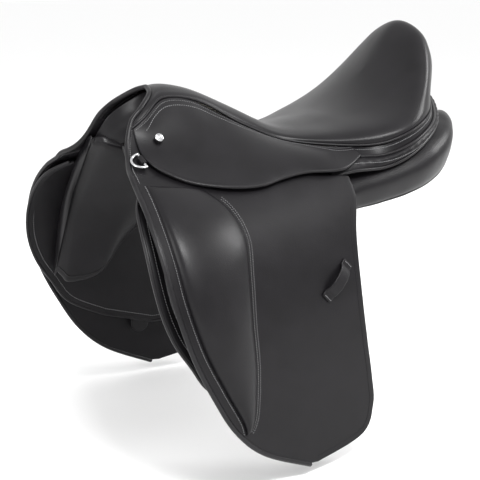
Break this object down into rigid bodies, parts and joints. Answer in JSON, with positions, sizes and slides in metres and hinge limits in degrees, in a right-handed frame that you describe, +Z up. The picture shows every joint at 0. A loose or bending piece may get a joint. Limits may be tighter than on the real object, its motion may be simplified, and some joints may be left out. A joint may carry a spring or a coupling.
{
  "type": "english saddle",
  "caption": "Dressage saddle with a deep seat, long straight flaps with thigh pads, small skirts, panels, stirrup bars, front dee rings and girth straps.",
  "frame": {"origin": "mid-plane of the saddle, at the level of the horse's back under the deepest point of the seat", "axes": "+X towards the horse's head, +Y towards the horse's left, +Z up"},
  "size_m": [0.5342, 0.4814, 0.5177],
  "materials": {
    "seat_leather": "soft smooth black leather",
    "flap_leather": "smooth black leather",
    "pad_leather": "padded smooth black leather",
    "piping_leather": "rolled black leather piping",
    "panel_leather": "soft black panel leather over wool flocking",
    "sweat_flap_leather": "black leather",
    "block_fabric": "black fabric over foam",
    "webbing": "woven webbing",
    "strap_leather": "thick black leather strap",
    "bright_steel": "polished",
    "forged_steel": "forged, satin",
    "spring_steel": "blued",
    "laminated_beech": "laminated, lacquered",
    "seat_foam": "open-cell foam"
  },
  "bodies": {
    "saddle": {"tree": "laminated_beech", "head_plate": "forged_steel", "gullet_plate": "forged_steel", "tree_rivets": "bright_steel", "spring_left": "spring_steel", "spring_right": "spring_steel", "seat_webs": "webbing", "seat_foam": "seat_foam", "seat_cover": "seat_leather", "pommel_piping": "piping_leather", "arch_lining": "flap_leather", "cantle_band": "flap_leather", "skirt_stud_left": "bright_steel", "stirrup_bar_left": "forged_steel", "dee_chape_left": "flap_leather", "panel_left": "panel_leather", "sweat_flap_left": "sweat_flap_leather", "knee_block_left": "block_fabric", "girth_web_left": "webbing", "flap_top_left": "flap_leather", "skirt_top_left": "flap_leather", "skirt_stud_right": "bright_steel", "stirrup_bar_right": "forged_steel", "dee_chape_right": "flap_leather", "panel_right": "panel_leather", "sweat_flap_right": "sweat_flap_leather", "knee_block_right": "block_fabric", "girth_web_right": "webbing", "flap_top_right": "flap_leather", "skirt_top_right": "flap_leather"},
    "flap_left": {"flap_left": "flap_leather", "thigh_pad_left": "pad_leather", "leather_keeper_left": "flap_leather", "flap_piping_left": "piping_leather"},
    "skirt_left": {"skirt_left": "flap_leather"},
    "dee_left": {"dee_left": "bright_steel"},
    "catch_left": {"bar_catch_left": "forged_steel"},
    "front_strap_left": {"girth_strap_front_left": "strap_leather"},
    "rear_strap_left": {"girth_strap_rear_left": "strap_leather"},
    "flap_right": {"flap_right": "flap_leather", "thigh_pad_right": "pad_leather", "leather_keeper_right": "flap_leather", "flap_piping_right": "piping_leather"},
    "skirt_right": {"skirt_right": "flap_leather"},
    "dee_right": {"dee_right": "bright_steel"},
    "catch_right": {"bar_catch_right": "forged_steel"},
    "front_strap_right": {"girth_strap_front_right": "strap_leather"},
    "rear_strap_right": {"girth_strap_rear_right": "strap_leather"}
  },
  "joints": [
    {"name": "flap_lift_left", "type": "hinge", "parent": "saddle", "child": "flap_left", "pos_m": [0, 0.16523, 0.0275], "axis": [0.9781, -0.1682, 0.1223], "range_deg": [0, 70]},
    {"name": "skirt_lift_left", "type": "hinge", "parent": "saddle", "child": "skirt_left", "pos_m": [0, 0.143, 0.0635], "axis": [0.9437, -0.3004, 0.1382], "range_deg": [0, 70]},
    {"name": "dee_swing_left", "type": "hinge", "parent": "saddle", "child": "dee_left", "pos_m": [0.2597, 0.0845, 0.0846], "axis": [0, 0.891, -0.454], "range_deg": [-40, 0]},
    {"name": "catch_fold_left", "type": "hinge", "parent": "saddle", "child": "catch_left", "pos_m": [0.146, 0.102, 0.06], "axis": [0, 1, 0], "range_deg": [0, 75]},
    {"name": "front_strap_swing_left", "type": "hinge", "parent": "saddle", "child": "front_strap_left", "pos_m": [0.128, 0.141, 0.033], "axis": [0, 1, 0], "range_deg": [-4, 4]},
    {"name": "rear_strap_swing_left", "type": "hinge", "parent": "saddle", "child": "rear_strap_left", "pos_m": [0.062, 0.149, 0.025], "axis": [0, 1, 0], "range_deg": [-4, 4]},
    {"name": "flap_lift_right", "type": "hinge", "parent": "saddle", "child": "flap_right", "pos_m": [0, -0.16523, 0.0275], "axis": [-0.9781, -0.1682, -0.1223], "range_deg": [0, 70]},
    {"name": "skirt_lift_right", "type": "hinge", "parent": "saddle", "child": "skirt_right", "pos_m": [0, -0.143, 0.0635], "axis": [-0.9437, -0.3004, -0.1382], "range_deg": [0, 70]},
    {"name": "dee_swing_right", "type": "hinge", "parent": "saddle", "child": "dee_right", "pos_m": [0.2597, -0.0845, 0.0846], "axis": [0, 0.891, 0.454], "range_deg": [-40, 0]},
    {"name": "catch_fold_right", "type": "hinge", "parent": "saddle", "child": "catch_right", "pos_m": [0.146, -0.102, 0.06], "axis": [0, 1, 0], "range_deg": [0, 75]},
    {"name": "front_strap_swing_right", "type": "hinge", "parent": "saddle", "child": "front_strap_right", "pos_m": [0.128, -0.141, 0.033], "axis": [0, 1, 0], "range_deg": [-4, 4]},
    {"name": "rear_strap_swing_right", "type": "hinge", "parent": "saddle", "child": "rear_strap_right", "pos_m": [0.062, -0.149, 0.025], "axis": [0, 1, 0], "range_deg": [-4, 4]}
  ]
}
